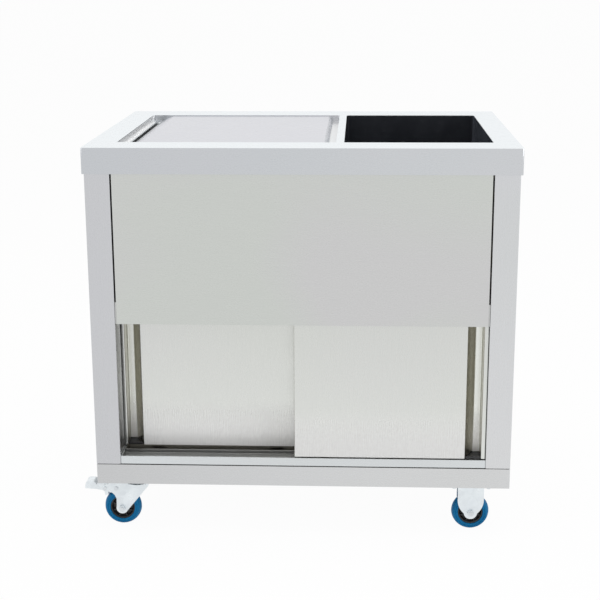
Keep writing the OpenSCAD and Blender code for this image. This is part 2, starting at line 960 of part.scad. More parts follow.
// Top plate of a swivel caster with its pressed head and kingpin
module swivel_plate() {
    rivet_h = 3.5;
    foot_z = crown_z - rivet_h - 0.5;
    color(zinc) {
        translate([0, 0, plate_z])
            top_plate();
        difference() {
            translate([0, 0, race_z])
                cylinder(h = head_h + eps, r = head_r);
            translate([0, 0, race_z])
                rotate_extrude()
                    translate([race_r, 0])
                        circle(r = race_ball_r + run_fit);
        }
        translate([0, 0, foot_z])
            cylinder(h = race_z - foot_z + 1, r = kingpin_r);
        translate([0, 0, foot_z])
            cylinder(h = rivet_h, r = kingpin_r + 4);
    }
}

// Ring of bearing balls
module swivel_race() {
    balls = 18;
    color(steel_mid)
        translate([0, 0, race_z])
            for (k = [0:balls - 1])
                rotate([0, 0, 360 * k / balls])
                    translate([race_r, 0, 0])
                        sphere(r = race_ball_r, $fn = 24);
}

// Leg of the swivel fork, drawn in X and Z from the axle: it slants up to the kingpin in front,
// and behind it an arm reaches over the tyre to the brake's pin
module swivel_leg() {
    top = crown_top - wheel_r;
    front = trail + 2 * lobe_r;
    corner = [front, top - 2 * fork_t];
    shoulder = [brake_pin.x + 11, top];
    arm_r = brake_pin_r + 3.5;
    arch = [-22, 36.5];
    arch_end = [-16, 31];
    waist = [-lobe_r + 1, 22];
    circle(r = lobe_r);
    translate(brake_pin)
        circle(r = arm_r);
    polygon([
        touch(corner, lobe_r, -1), corner, [front, top], shoulder,
        brake_pin + touch(shoulder - brake_pin, arm_r, 1), brake_pin + touch(arch - brake_pin, arm_r, -1),
        arch, arch_end, waist, touch(waist, lobe_r, 1)
    ]);
}

// A leg outline in X and Z, made into the fork's two legs
module both_legs() {
    for (y = [-1, 1])
        translate([0, y * (leg_y + fork_t / 2) + fork_t / 2, 0])
            rotate([90, 0, 0])
                linear_extrude(fork_t)
                    difference() {
                        children();
                        circle(r = bolt_r + 0.2);
                    }
}

module swivel_fork() {
    back = brake_pin.x + 11;
    color(zinc)
        translate([-trail, 0, wheel_r])
            difference() {
                union() {
                    both_legs()
                        difference() {
                            swivel_leg();
                            for (p = [brake_pin, rivet])
                                translate(p)
                                    circle(r = brake_pin_r + run_fit);
                        }
                    translate([0, 0, crown_z - wheel_r])
                        linear_extrude(fork_t) {
                            translate([back, -crown_y])
                                square([trail + 2 * lobe_r - back, 2 * crown_y]);
                            translate([trail, 0])
                                circle(r = 2 * lobe_r + 1);
                        }
                    translate([trail, 0, crown_top - wheel_r - eps])
                        difference() {
                            cylinder(h = race_gap - slack, r = race_r + race_ball_r);
                            translate([0, 0, -1])
                                cylinder(h = race_gap + 1, r = race_r - race_ball_r);
                        }
                }
                translate([trail, 0, crown_z - wheel_r - 1])
                    cylinder(h = fork_t + 4, r = kingpin_r + run_fit);
            }
}

// Axle with its sleeve between the legs, a hex head in front and a nut behind
module axle() {
    rotate([90, 0, 0]) {
        cylinder(h = 2 * leg_y - 2 * run_fit, r = axle_r, center = true);
        cylinder(h = 2 * crown_y + 14, r = bolt_r, center = true);
        for (side = [-1, 1])
            translate([0, 0, side * (crown_y + bolt_head_h / 2)])
                cylinder(h = bolt_head_h, r = bolt_head_r, $fn = 6, center = true);
    }
}

// Pin or rivet through both legs, with a round head outside each
module cross_pin(p) {
    translate([p.x, 0, p.y])
        rotate([90, 0, 0]) {
            cylinder(h = 2 * crown_y + eps, r = brake_pin_r, center = true);
            for (side = [-1, 1])
                translate([0, 0, side * (crown_y + 0.9)])
                    cylinder(h = 1.8, r = brake_pin_r + 1.5, center = true);
        }
}

module swivel_pins() {
    color(steel_mid)
        translate([-trail, 0, wheel_r]) {
            axle();
            cross_pin(brake_pin);
            cross_pin(rivet);
        }
}

// Brake pedal's cap from its throat by the pin to its curled tip, drawn in X and Z from the pin
pedal_throat = [-19, 8];
pedal_curl_r = 7;
pedal_line = [pedal_throat, [-24, pedal_h - 1], [-pedal_reach, pedal_h - 1], [-pedal_reach - 2, -1]];

module pedal_wall() {
    eye_r = brake_pin_r + 3;
    heel = [-19, -3];
    circle(r = eye_r);
    polygon(concat(
        [touch(pedal_throat, eye_r, -1)],
        rounded_line(pedal_line, pedal_curl_r),
        [heel, touch(heel, eye_r, 1)]
    ));
}

// Brake pedal: a pressed cap with two side walls on the pin, and a nose that swings against the tyre
module brake_pedal() {
    wall = 2;
    half = leg_y - slack;
    nose_l = norm(brake_pin) - wheel_r - 0.8;
    nose_t = 8;
    nose_turn = atan2(-brake_pin.y, -brake_pin.x) - 28;
    color(zinc)
        translate([-trail + brake_pin.x, 0, wheel_r + brake_pin.y])
            difference() {
                union() {
                    for (y = [-1, 1])
                        translate([0, y * (half - wall / 2) + wall / 2, 0])
                            rotate([90, 0, 0])
                                linear_extrude(wall)
                                    pedal_wall();
                    translate([0, half, 0])
                        rotate([90, 0, 0])
                            linear_extrude(2 * half)
                                fold_section(pedal_line, wall, pedal_curl_r);
                    rotate([90, 0, 0])
                        cylinder(h = 2 * half - wall, r = brake_pin_r + 2, center = true);
                    rotate([90, -nose_turn, 0])
                        translate([0, -nose_t / 2, -half + wall])
                            cube([nose_l, nose_t, 2 * (half - wall)]);
                }
                rotate([90, 0, 0])
                    cylinder(h = 2 * crown_y, r = brake_pin_r + run_fit, center = true);
            }
}

// Leg of the rigid fork: straight to the tyre's top, then drawn in by two arcs to the lobe
module rigid_leg() {
    half = rigid_w / 2;
    knee = 30;
    taper_r = 1.5 * half;
    circle(r = lobe_r + 1.5);
    translate([-half, knee])
        square([rigid_w, plate_z - wheel_r - knee]);
    intersection() {
        translate([half - taper_r, knee])
            circle(r = taper_r);
        translate([taper_r - half, knee])
            circle(r = taper_r);
        translate([-half, knee - 2 * half])
            square([rigid_w, 2 * half + eps]);
    }
}

module rigid_fork() {
    color(zinc) {
        translate([0, 0, plate_z])
            top_plate();
        translate([0, 0, wheel_r])
            both_legs()
                rigid_leg();
        translate([-rigid_w / 2, -crown_y, plate_z - fork_t])
            cube([rigid_w, 2 * crown_y, fork_t + eps]);
    }
}

module rigid_axles() {
    color(steel_mid)
        for (y = [-1, 1])
            at_wheel(1, y)
                axle();
}

// Moulded wheel centre: boss, web and rim in one revolved section
module wheel_hub() {
    rim_w = tyre_w - 5;
    boss_w = 2 * (leg_y - hub_gap);
    color(hub_black)
        rotate([90, 0, 0])
            rotate_extrude()
                polygon([
                    [axle_r + run_fit, -boss_w / 2], [11, -boss_w / 2], [12, -5], [centre_r - 5, -4],
                    [centre_r - 3, -rim_w / 2], [centre_r, -rim_w / 2], [centre_r, rim_w / 2],
                    [centre_r - 3, rim_w / 2], [centre_r - 5, 4], [12, 5], [11, boss_w / 2],
                    [axle_r + run_fit, boss_w / 2]
                ]);
}

// Rubber tyre with a rounded tread
module tyre() {
    color(tyre_blue)
        rotate([90, 0, 0])
            rotate_extrude($fn = 96)
                intersection() {
                    translate([centre_r, -tyre_w / 2])
                        square([wheel_r - centre_r + 1, tyre_w]);
                    translate([wheel_r - tread_r, 0])
                        circle(r = tread_r);
                }
}

// Bolt through a top plate and its pad, with the head at the height 0 and the nut above the two
module plate_bolt() {
    grip = plate_t + pad_t;
    translate([0, 0, -bolt_head_h]) {
        cylinder(h = bolt_head_h, r = bolt_head_r, $fn = 6);
        cylinder(h = bolt_head_h + grip + nut_h + bolt_tail, r = bolt_r, $fn = 24);
    }
    translate([0, 0, grip])
        cylinder(h = nut_h, r = bolt_head_r, $fn = 6);
}

// The swivel casters' bolts have their heads below, clear of the turning forks; the rigid ones' hang down
module caster_bolts() {
    color(steel_mid)
        for (x = [-1, 1], y = [-1, 1], hx = [-1, 1], hy = [-1, 1])
            at_caster(x, y)
                translate([hx * hole_x / 2, hy * hole_y / 2, x < 0 ? plate_z : caster_h + pad_t])
                    mirror([0, 0, x < 0 ? 0 : 1])
                        plate_bolt();
}

worktop();
ice_bin();
well_liner();
insulation();
ceiling_pan();
floor_pan();
post(-1, -1);  // post_front_left
post(1, -1);  // post_front_right
post(-1, 1);  // post_rear_left
post(1, 1);  // post_rear_right
front_panel();
back_panel();
side_panel(-1);  // left_panel
side_panel(1);  // right_panel
top_track();
bottom_tracks();
track_stops();
plinth_frame();
lid();
drain_strainers();
outlet(bin_x, bin_floor, sheet);  // bin_outlet
outlet(well_x, well_floor, liner_wall);  // well_outlet
valve(bin_x);  // bin_valve
valve(well_x);  // well_valve
valve_lever(bin_x);  // bin_valve_lever
valve_lever(well_x);  // well_valve_lever
on_front_door() door_skin();  // front_door_skin
on_front_door() door_back();  // front_door_back
on_front_door() door_hangers();  // front_door_hangers
on_front_door() door_guides();  // front_door_guides
on_front_door() door_roller(running_gear()[0]);  // front_door_roller_left
on_front_door() door_roller(running_gear()[1]);  // front_door_roller_right
on_rear_door() door_skin();  // rear_door_skin
on_rear_door() door_back();  // rear_door_back
on_rear_door() door_hangers();  // rear_door_hangers
on_rear_door() door_guides();  // rear_door_guides
on_rear_door() door_roller(running_gear()[1]);  // rear_door_roller_left
on_rear_door() door_roller(running_gear()[0]);  // rear_door_roller_right
at_caster(-1, -1) swivel_plate();  // caster_fl_plate
at_caster(-1, -1) swivel_race();  // caster_fl_race
at_caster(-1, -1) swivel_fork();  // caster_fl_fork
at_caster(-1, -1) swivel_pins();  // caster_fl_pins
at_caster(-1, -1) brake_pedal();  // caster_fl_pedal
at_wheel(-1, -1) wheel_hub();  // caster_fl_hub
at_wheel(-1, -1) tyre();  // caster_fl_tyre
at_caster(-1, 1) swivel_plate();  // caster_rl_plate
at_caster(-1, 1) swivel_race();  // caster_rl_race
at_caster(-1, 1) swivel_fork();  // caster_rl_fork
at_caster(-1, 1) swivel_pins();  // caster_rl_pins
at_caster(-1, 1) brake_pedal();  // caster_rl_pedal
at_wheel(-1, 1) wheel_hub();  // caster_rl_hub
at_wheel(-1, 1) tyre();  // caster_rl_tyre
at_caster(1, -1) rigid_fork();  // caster_fr_fork
at_wheel(1, -1) wheel_hub();  // caster_fr_hub
at_wheel(1, -1) tyre();  // caster_fr_tyre
at_caster(1, 1) rigid_fork();  // caster_rr_fork
at_wheel(1, 1) wheel_hub();  // caster_rr_hub
at_wheel(1, 1) tyre();  // caster_rr_tyre
rigid_axles();
caster_bolts();
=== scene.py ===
import math

import bmesh
import bpy
from mathutils import Matrix, Vector
from mathutils.bvhtree import BVHTree

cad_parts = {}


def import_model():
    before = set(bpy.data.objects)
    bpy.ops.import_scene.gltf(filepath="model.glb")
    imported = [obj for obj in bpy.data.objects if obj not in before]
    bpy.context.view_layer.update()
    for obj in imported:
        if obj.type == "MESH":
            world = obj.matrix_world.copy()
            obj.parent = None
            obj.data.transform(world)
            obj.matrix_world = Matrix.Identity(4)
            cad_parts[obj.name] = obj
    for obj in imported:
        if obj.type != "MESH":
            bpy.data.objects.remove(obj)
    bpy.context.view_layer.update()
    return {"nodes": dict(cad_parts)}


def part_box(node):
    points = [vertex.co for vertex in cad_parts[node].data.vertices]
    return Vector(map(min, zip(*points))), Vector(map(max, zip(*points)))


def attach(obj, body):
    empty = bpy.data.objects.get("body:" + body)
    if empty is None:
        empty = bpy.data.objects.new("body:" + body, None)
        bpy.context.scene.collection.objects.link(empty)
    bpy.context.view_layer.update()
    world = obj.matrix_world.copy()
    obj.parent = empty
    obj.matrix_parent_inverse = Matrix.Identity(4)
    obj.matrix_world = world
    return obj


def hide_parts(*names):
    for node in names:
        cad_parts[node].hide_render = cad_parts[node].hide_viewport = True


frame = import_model()
nodes = frame["nodes"]


# Node trees

class Tree:
    """The node tree of a material or the world, with a short way to add a node and feed its inputs.

    Mapping, Map Range and Mix nodes take their inputs by number. A Mix node has its share at 0, its
    vectors at 4 and 5 and its colours at 6 and 7.
    """

    def __init__(self, data):
        self.data = data
        data.use_nodes = True
        data.node_tree.nodes.clear()

    def add(self, kind, inputs=None, **settings):
        """A shader node whose inputs, by name or number, are linked to a socket or set to a value."""
        node = self.data.node_tree.nodes.new("ShaderNode" + kind)
        for key, value in settings.items():
            setattr(node, key, value)
        for key, value in (inputs or {}).items():
            if isinstance(value, bpy.types.NodeSocket):
                self.data.node_tree.links.new(value, node.inputs[key])
            else:
                node.inputs[key].default_value = value
        return node

    def math(self, operation, a, b=0.0):
        return self.add("Math", {0: a, 1: b}, operation=operation).outputs[0]

    def mix(self, share, a, b):
        """Colour between a and b."""
        return self.add("Mix", {0: share, 6: a, 7: b}, data_type="RGBA").outputs[2]

    def darkened(self, colour, shade):
        """Colour times a shade of 0 to 1."""
        keys = {0: 1.0, 6: colour, 7: shade}
        return self.add("Mix", keys, data_type="RGBA", blend_type="MULTIPLY").outputs[2]

    def blend(self, share, a, b):
        """Vector between a and b."""
        return self.add("Mix", {0: share, 4: a, 5: b}, data_type="VECTOR").outputs[1]

    def span(self, value, low, high, to_low=0.0, to_high=1.0):
        """The value's range low to high, carried over to to_low to to_high and kept inside it."""
        keys = {0: value, 1: low, 2: high, 3: to_low, 4: to_high}
        return self.add("MapRange", keys).outputs[0]

    def fade(self, value, full, gone):
        """1 where the value is at full or before it, falling to 0 where it is gone."""
        return self.span(value, full, gone, 1.0, 0.0)

    def axes(self, vector):
        """X, Y and Z of a vector."""
        return self.add("SeparateXYZ", {0: vector}).outputs

    def shifted(self, vector, offset):
        return self.add("Mapping", {0: vector, 1: offset}).outputs[0]

    def scaled(self, vector, scale):
        return self.add("Mapping", {0: vector, 3: scale}).outputs[0]

    def inside(self, place, box):
        """1 inside a box of (low, high) or None for X, Y and Z, falling to 0 just outside it."""
        soft = 0.0004
        share = None
        for axis, limits in zip(self.axes(place), box):
            if limits is None:
                continue
            above = self.span(axis, limits[0] - soft, limits[0])
            below = self.fade(axis, limits[1], limits[1] + soft)
            both = self.math("MULTIPLY", above, below)
            share = both if share is None else self.math("MULTIPLY", share, both)
        return share

    def noise(self, vector, scale, detail, roughness):
        keys = {"Vector": vector, "Scale": scale, "Detail": detail, "Roughness": roughness}
        return self.add("TexNoise", keys).outputs[0]

    def cells(self, vector, scale):
        """The outputs of a pattern of cells."""
        return self.add("TexVoronoi", {"Vector": vector, "Scale": scale}).outputs

    def bump(self, height, strength, distance):
        keys = {"Strength": strength, "Distance": distance, "Height": height}
        return self.add("Bump", keys).outputs[0]

    def surface(self, **sockets):
        """Ends the tree in a principled shader with these inputs, and gives the material."""
        keys = {key.replace("_", " "): value for key, value in sockets.items()}
        shader = self.add("BsdfPrincipled", keys)
        self.add("OutputMaterial", {0: shader.outputs[0]})
        return self.data


def tree(name):
    """The empty tree of a new material."""
    return Tree(bpy.data.materials.new(name))


def rgb(red, green, blue):
    """An sRGB colour of 0 to 255 as a linear one."""
    def linear(c):
        c /= 255
        return c / 12.92 if c <= 0.04045 else ((c + 0.055) / 1.055) ** 2.4
    return linear(red), linear(green), linear(blue), 1.0


# Places of painted light and shade, and of the doors' pulls

# How far a zone reaches past the face that it colours
ZONE_ROOM = 0.0005
# From a door's outer edge: the pull's outer wall, the end of its floor and the end of its slope
PULL_REACH = (0.0095, 0.0245, 0.0440)


def pull_edge(door):
    """X of a door's outer edge, and 1 or -1 for the way from there to the door's middle."""
    low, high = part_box(door + "_door_skin")
    return (low.x, 1) if door == "rear" else (high.x, -1)


def pull_floor(door):
    """Box round the floor of a door's pull."""
    edge, inward = pull_edge(door)
    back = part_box(door + "_door_skin")[1].y
    ends = sorted((edge + inward * (PULL_REACH[0] - ZONE_ROOM),
                   edge + inward * (PULL_REACH[1] + ZONE_ROOM)))
    return ends, (back - 0.0030, back + ZONE_ROOM), None


DOORS = ("front", "rear")
# The pulls' floors, which get painted light
PULL_FLOORS = [pull_floor(door) for door in DOORS]
# The doors' foot is painted paler and made less metallic, as painted light against the shade and dark
# reflection of the lanes below: fully below FOOT_FULL, fading out at FOOT_TOP, and up to FOOT_HALF to each
# side of the cart's middle. What lies behind BETWEEN_DOORS gets a paler painted light there, which fades out
# over REAR_FOOT_FADE.
FOOT_FULL = 0.210
FOOT_TOP = 0.290
FOOT_HALF = 0.352
BETWEEN_DOORS = -0.300
REAR_FOOT_FADE = (0.195, 0.262)

# The bin's opening, from the rim that the bin has outside it
BIN_RIM = 0.0052
bin_low, bin_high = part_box("ice_bin")
opening_left = bin_low.x + BIN_RIM
opening_depth = (bin_low.y + BIN_RIM, bin_high.y - BIN_RIM)
worktop_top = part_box("worktop")[1].z
# The left wall of the opening, with a painted highlight
LEFT_COLLAR_HIGHLIGHT = ((opening_left - 0.0015, opening_left + 0.0015),
               (opening_depth[0] + ZONE_ROOM, opening_depth[1] - ZONE_ROOM),
               (bin_high.z - 0.0030, worktop_top - 0.0015))
# The bin's left ledge: a painted highlight along the wall and painted shade towards the hand gap
ledge_height = (bin_high.z - 0.0015, bin_high.z + ZONE_ROOM)
LEDGE_HIGHLIGHT = ((opening_left, opening_left + 0.0060), opening_depth, ledge_height)
LEDGE_PAINTED_SHADE = ((opening_left + 0.0064, opening_left + 0.0145), opening_depth, ledge_height)

# The lid's left slope, which is seen from the side and gets painted shade
lid_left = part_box("lid")[0].x
LID_SLOPE_SHADE = ((lid_left - 0.0020, lid_left + 0.0095), None, None)

# The sunk lanes under the doors: painted shade, darker behind the wall between them
track_low, track_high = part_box("bottom_tracks")
lane_length = (track_low.x - 0.0100, track_high.x + 0.0100)
lane_height = (track_low.z - 0.0160, track_high.z - 0.0003)
LANE_WALL = -0.2790
LANES_BACK = -0.2200
LANES_SHADE = (lane_length, (track_low.y - ZONE_ROOM, LANES_BACK), lane_height)
REAR_LANE_SHADE = (lane_length, (LANE_WALL, LANES_BACK), lane_height)


# Materials

# Hair lines per metre across the grain and along it, and how far they darken the steel
HAIR_ACROSS = 2600.0
HAIR_ALONG = 26.0
HAIR_SHADE = 0.965
# Where the painted light or shade of a sheet's lower end is full and where it is gone, and the same for its
# left end
LOW_FADE = (0.15, 0.75)
LEFT_FADE = (-0.42, 0.2)
# The painted light of the doors' foot, the paler one behind BETWEEN_DOORS, and how much of the metal the dull
# foot hides
FOOT_PAINTED_LIGHT = (0.79, 0.79, 0.78, 1.0)
REAR_FOOT_PAINTED_LIGHT = (1.0, 1.0, 0.99, 1.0)
FOOT_DULL_SHARE = 0.9


def hair_lines(t, where, normal, grain):
    """Fine lines along the grain, turned on the faces that look along it."""
    main = [HAIR_ACROSS] * 3
    main["xyz".index(grain)] = HAIR_ALONG
    turned = [HAIR_ACROSS] * 3
    turned["xyz".index("y" if grain == "x" else "x")] = HAIR_ALONG
    facing = t.math("ABSOLUTE", normal["xyz".index(grain)])
    place = t.blend(t.math("GREATER_THAN", facing, 0.7), t.scaled(where, main), t.scaled(where, turned))
    return t.noise(place, 1.0, detail=2.0, roughness=0.6)


def painted_foot_light(t, where, spot, normal, tint, metal):
    """Tint and metallic share of the doors with their foot painted paler and duller as painted light, which
    leaves out what faces sideways.
    """
    within = t.math("LESS_THAN", t.math("ABSOLUTE", spot[0]), FOOT_HALF)
    for box in PULL_FLOORS:
        within = t.math("MAXIMUM", within, t.inside(where, box))
    upright = t.math("LESS_THAN", t.math("ABSOLUTE", normal[0]), 0.6)
    within = t.math("MULTIPLY", within, upright)
    foot_share = t.math("MULTIPLY", t.fade(spot[2], FOOT_FULL, FOOT_TOP), within)
    rear = t.math("GREATER_THAN", spot[1], BETWEEN_DOORS)
    lowest = t.math("MULTIPLY", rear, t.fade(spot[2], *REAR_FOOT_FADE))
    foot_light = t.mix(lowest, FOOT_PAINTED_LIGHT, REAR_FOOT_PAINTED_LIGHT)
    hidden = t.math("MULTIPLY", foot_share, FOOT_DULL_SHARE)
    return t.mix(foot_share, tint, foot_light), t.math("SUBTRACT", metal, hidden)


def brushed(name, colour, patch, grain, seed, rough=(0.24, 0.32), top=None, side=None, left=None, low=None,
            zones=(), painted_foot=False):
    """Brushed stainless sheet: hair lines along the grain and wide soft clouds.

    top and side are colours of painted light and shade on faces that look up and sideways, left and low those
    of painted shade and light at the cart's left and lower end, and each zone is a box with its colour, a
    patch of painted light or shade, and metallic share. With painted_foot the sheet's foot is painted paler
    and less metallic as painted light.
    """
    t = tree(name)
    coordinates = t.add("TexCoord")
    where = coordinates.outputs["Object"]
    normal = t.axes(coordinates.outputs["Normal"])
    spot = t.axes(where)
    lines = hair_lines(t, where, normal, grain)
    place = t.shifted(where, (seed, seed / 2, seed / 3))
    cloud = t.noise(place, 2.2, detail=1.0, roughness=0.4)
    smudge = t.noise(place, 17.0, detail=3.0, roughness=0.6)
    tint = t.mix(t.span(cloud, 0.4, 0.6), colour, patch)
    # Painted light and shade: own colours for the lower end, the left end, and faces that look up or sideways
    if low:
        tint = t.mix(t.fade(spot[2], *LOW_FADE), tint, low)
    if left:
        tint = t.mix(t.fade(spot[0], *LEFT_FADE), tint, left)
    if top:
        tint = t.mix(t.span(normal[2], 0.3, 0.9), tint, top)
    if side:
        tint = t.mix(t.span(t.math("ABSOLUTE", normal[0]), 0.6, 0.9), tint, side)
    metal = 1.0
    # Each zone is a patch of painted highlight or painted shade
    for box, zone_colour, metallic in zones:
        share = t.inside(where, box)
        tint = t.mix(share, tint, zone_colour)
        if metallic < 1.0:
            metal = t.math("SUBTRACT", metal, t.math("MULTIPLY", share, 1.0 - metallic))
    # The doors' foot gets painted light: a paler colour and less metal
    if painted_foot:
        tint, metal = painted_foot_light(t, where, spot, normal, tint, metal)
    tint = t.darkened(tint, t.span(lines, 0.35, 0.75, 1.0, HAIR_SHADE))
    roughness = t.math("ADD", t.span(lines, 0.3, 0.7, *rough), t.span(smudge, 0.4, 0.7, -0.01, 0.03))
    return t.surface(Base_Color=tint, Metallic=metal, Roughness=roughness,
                     Normal=t.bump(lines, strength=0.12, distance=0.00002),
                     Specular_IOR_Level=1.0 if painted_foot else 0.5)


def moulded(name, colour, patch, rough, grain_size, relief, specular=0.5, coat=0.0, left_facing_highlight=None):
    """Moulded plastic or rubber: a fine pebble, a slow tint and scuffs that are a little lighter."""
    t = tree(name)
    coordinates = t.add("TexCoord")
    where = coordinates.outputs["Object"]
    pebble = t.noise(where, grain_size, detail=2.0, roughness=0.5)
    cloud = t.noise(where, 14.0, detail=3.0, roughness=0.55)
    scuff = t.noise(where, 70.0, detail=5.0, roughness=0.7)
    tint = t.mix(t.span(cloud, 0.4, 0.65), colour, patch)
    light = tuple(min(1.0, c * 1.25 + 0.01) for c in colour[:3]) + (1.0,)
    tint = t.mix(t.span(scuff, 0.58, 0.75, 0.0, 0.35), tint, light)
    # Faces that look left get a painted highlight
    if left_facing_highlight:
        facing = t.axes(coordinates.outputs["Normal"])[0]
        tint = t.mix(t.fade(facing, -0.9, -0.6), tint, left_facing_highlight)
    return t.surface(Base_Color=tint, Roughness=t.span(scuff, 0.35, 0.7, *rough),
                     Normal=t.bump(pebble, strength=relief, distance=0.0001),
                     Specular_IOR_Level=specular, Coat_Weight=coat, Coat_Roughness=0.06)


def plated(name, colour, patch, rough, spangle=55.0, relief=0.1):
    """Zinc-plated or cast metal: a cloudy plating with a faint spangle."""
    t = tree(name)
    where = t.add("TexCoord").outputs["Object"]
    flakes = t.add("SeparateColor", {0: t.cells(where, spangle)["Color"]}).outputs[0]
    cloud = t.noise(where, 30.0, detail=3.0, roughness=0.6)
    fine = t.noise(where, 900.0, detail=2.0, roughness=0.5)
    tint = t.mix(t.span(cloud, 0.35, 0.65), colour, patch)
    tint = t.mix(t.math("MULTIPLY", flakes, 0.12), tint, (0.35, 0.37, 0.38, 1.0))
    roughness = t.math("ADD", t.span(cloud, 0.3, 0.7, *rough), t.math("MULTIPLY", flakes, 0.06))
    return t.surface(Base_Color=tint, Metallic=1.0, Roughness=roughness,
                     Normal=t.bump(fine, strength=relief, distance=0.00005))


def foam_material():
    """Cut polyurethane foam: open cells, a warm tint and darker pores."""
    t = tree("foam")
    where = t.add("TexCoord").outputs["Object"]
    pores = t.cells(where, 650.0)["Distance"]
    cloud = t.noise(where, 20.0, detail=4.0, roughness=0.6)
    tint = t.mix(t.span(cloud, 0.35, 0.65), rgb(232, 218, 168), rgb(220, 202, 148))
    tint = t.mix(t.span(pores, 0.0, 0.25, 0.5, 0.0), tint, rgb(168, 148, 96))
    return t.surface(Base_Color=tint, Roughness=0.9, Normal=t.bump(pores, strength=0.6, distance=0.0006))


# Worktop: painted light on faces that look up, painted shade at the left end, a painted highlight on the
# collar
worktop_steel = brushed("worktop_steel", rgb(203, 206, 209), rgb(207, 207, 210), "x", seed=3.0,
                        top=rgb(230, 235, 238), left=rgb(198, 201, 205),
                        zones=[(LEFT_COLLAR_HIGHLIGHT, rgb(242, 243, 244), 0.15)])
# Lid: painted shade on its top and on its left slope
lid_steel = brushed("lid_steel", rgb(212, 216, 219), rgb(214, 218, 221), "x", seed=5.0,
                    top=rgb(203, 204, 210), zones=[(LID_SLOPE_SHADE, rgb(158, 163, 167), 1.0)])
# Floor pan: painted shade in the sunk lanes
rail_steel = brushed("rail_steel", rgb(214, 218, 220), rgb(210, 213, 214), "x", seed=7.0,
                     zones=[(LANES_SHADE, rgb(180, 181, 180), 1.0), (REAR_LANE_SHADE, rgb(172, 171, 166), 1.0)])
# Posts: painted light towards the lower end, painted shade at the left end
post_steel = brushed("post_steel", rgb(209, 210, 213), rgb(207, 209, 210), "z", seed=11.0,
                     low=rgb(215, 216, 217), left=rgb(202, 203, 206))
panel_steel = brushed("panel_steel", rgb(203, 206, 202), rgb(204, 204, 204), "x", seed=13.0)
# Doors: painted shade on faces that look sideways, painted light towards the lower end, on the pulls' floors
# and at the foot
door_steel = brushed("door_steel", rgb(200, 202, 198), rgb(199, 199, 199), "z", seed=17.0,
                     side=rgb(189, 186, 174), low=rgb(223, 225, 221), painted_foot=True,
                     zones=[(box, rgb(231, 233, 228), 1.0) for box in PULL_FLOORS])
# Plinth: painted shade at the left end
plinth_steel = brushed("plinth_steel", rgb(212, 213, 214), rgb(209, 210, 210), "x", seed=19.0,
                       left=rgb(201, 202, 203))
# Bin: a painted highlight and painted shade on the left ledge
bin_steel = brushed("bin_steel", rgb(222, 225, 227), rgb(226, 227, 228), "x", seed=23.0, rough=(0.3, 0.4),
                    zones=[(LEDGE_HIGHLIGHT, rgb(255, 255, 255), 0.5), (LEDGE_PAINTED_SHADE, rgb(195, 200, 202), 1.0)])
pan_steel = brushed("pan_steel", rgb(198, 200, 200), rgb(205, 205, 204), "x", seed=29.0,
                    rough=(0.3, 0.42))
# Tracks: painted shade in the rear lane
aluminium = brushed("track_aluminium", rgb(188, 189, 188), rgb(194, 194, 192), "x", seed=31.0,
                    rough=(0.3, 0.4), zones=[(REAR_LANE_SHADE, rgb(155, 153, 146), 1.0)])
# Well liner: a painted highlight on the faces that look left
black_gloss = moulded("black_liner", rgb(42, 44, 49), rgb(36, 38, 43), (0.16, 0.26), 900.0, 0.06,
                      coat=0.35, left_facing_highlight=rgb(80, 84, 92))
black_matt = moulded("black_moulding", rgb(30, 31, 34), rgb(38, 38, 41), (0.35, 0.5), 1400.0, 0.2)
# Guides: a paler grey than they show, as painted light against the shade of the lanes
guide_grey = moulded("guide_moulding", rgb(132, 130, 120), rgb(124, 122, 112), (0.4, 0.55), 1400.0, 0.2)
tyre_blue = moulded("blue_tyre", rgb(0, 116, 170), rgb(0, 106, 158), (0.45, 0.6), 1200.0, 0.3, specular=0.22)
nylon = moulded("nylon", rgb(226, 223, 212), rgb(218, 214, 202), (0.35, 0.5), 1500.0, 0.1)
sleeve_red = moulded("lever_sleeve", rgb(178, 30, 24), rgb(160, 24, 20), (0.3, 0.45), 1100.0, 0.2)
zinc = plated("zinc_plate", rgb(234, 240, 243), rgb(226, 232, 236), (0.24, 0.36))
bolt_steel = plated("bolt_steel", rgb(226, 231, 234), rgb(212, 217, 221), (0.24, 0.4), 160.0)
valve_metal = plated("valve_metal", rgb(190, 188, 180), rgb(174, 171, 162), (0.26, 0.42), 90.0, 0.3)
foam = foam_material()

# The CAD body that each caster's wheel turns with
WHEELS = {"caster_fl": "wheel_fl", "caster_rl": "wheel_rl", "caster_fr": "wheel_fr", "caster_rr": "wheel_rr"}
BRAKED = ["caster_fl", "caster_rl"]
DRAINS = ["bin", "well"]
POSTS = ["post_front_left", "post_front_right", "post_rear_left", "post_rear_right"]
PANELS = ["front_panel", "back_panel", "left_panel", "right_panel"]
DOOR_SKINS = [door + "_door_skin" for door in DOORS]
ROLLERS = [door + "_door_roller_" + side for door in DOORS for side in ("left", "right")]
FORKS = [corner + "_fork" for corner in WHEELS]
PEDALS = [corner + "_pedal" for corner in BRAKED]
FINISH = {
    worktop_steel: ["worktop"],
    lid_steel: ["lid"],
    bin_steel: ["ice_bin", "drain_strainers", "bin_outlet", "well_outlet"],
    black_gloss: ["well_liner"],
    pan_steel: ["ceiling_pan"],
    rail_steel: ["floor_pan"],
    post_steel: POSTS,
    panel_steel: PANELS,
    aluminium: ["top_track", "bottom_tracks"],
    plinth_steel: ["plinth_frame"],
    door_steel: DOOR_SKINS + [door + "_door_back" for door in DOORS],
    guide_grey: [door + "_door_guides" for door in DOORS],
    nylon: ["track_stops"] + ROLLERS,
    valve_metal: [drain + "_valve" for drain in DRAINS],
    zinc: ([door + "_door_hangers" for door in DOORS] + [drain + "_valve_lever" for drain in DRAINS]
           + [corner + "_plate" for corner in BRAKED] + FORKS + PEDALS),
    bolt_steel: (["rigid_axles", "caster_bolts"]
                 + [corner + part for corner in BRAKED for part in ("_pins", "_race")]),
}
